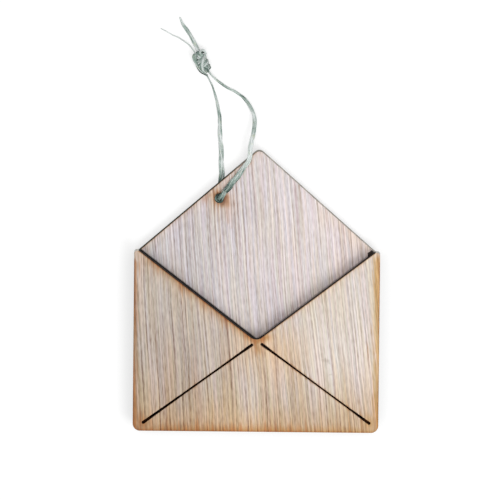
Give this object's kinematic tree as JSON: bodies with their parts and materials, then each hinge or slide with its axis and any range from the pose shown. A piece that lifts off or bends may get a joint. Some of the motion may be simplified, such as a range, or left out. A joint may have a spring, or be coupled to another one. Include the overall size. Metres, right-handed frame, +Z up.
{
  "type": "wooden money envelope",
  "caption": "Small wooden envelope for a folded banknote or gift card, with a pointed flap, a V-shaped pocket mouth and a hanging loop of jute twine.",
  "frame": {"origin": "centre of the plates' footprint on the table, at table height; the envelope lies on its back", "axes": "+X to the right seen from the front, +Y from the bottom edge towards the tip of the flap, +Z up out of the front plate"},
  "size_m": [0.1, 0.169, 0.0138],
  "materials": {
    "back_veneer": "raw open-grained veneer, pale and slightly pink, scorched at the cut edges",
    "front_veneer": "raw open-grained veneer, warm beige, scorched at the cut edges",
    "spacer_wood": "laser-burnt plywood edge",
    "jute": "dry twisted jute fibre, grey-green"
  },
  "bodies": {
    "envelope": {"back_plate": "back_veneer", "front_plate": "front_veneer", "spacer_strip_bottom": "spacer_wood", "spacer_strip_left": "spacer_wood", "spacer_strip_right": "spacer_wood"},
    "twine": {"twine_threaded": "jute", "twine_left_strand": "jute", "twine_right_strand": "jute", "twine_knot": "jute", "twine_long_tail": "jute", "twine_thin_tail": "jute"}
  },
  "joints": [
    {"name": "loop_swing", "type": "hinge", "parent": "envelope", "child": "twine", "pos_m": [-0.0155, 0.03798, 0.0035], "axis": [0, 0, 1], "range_deg": [-35, 60]}
  ]
}
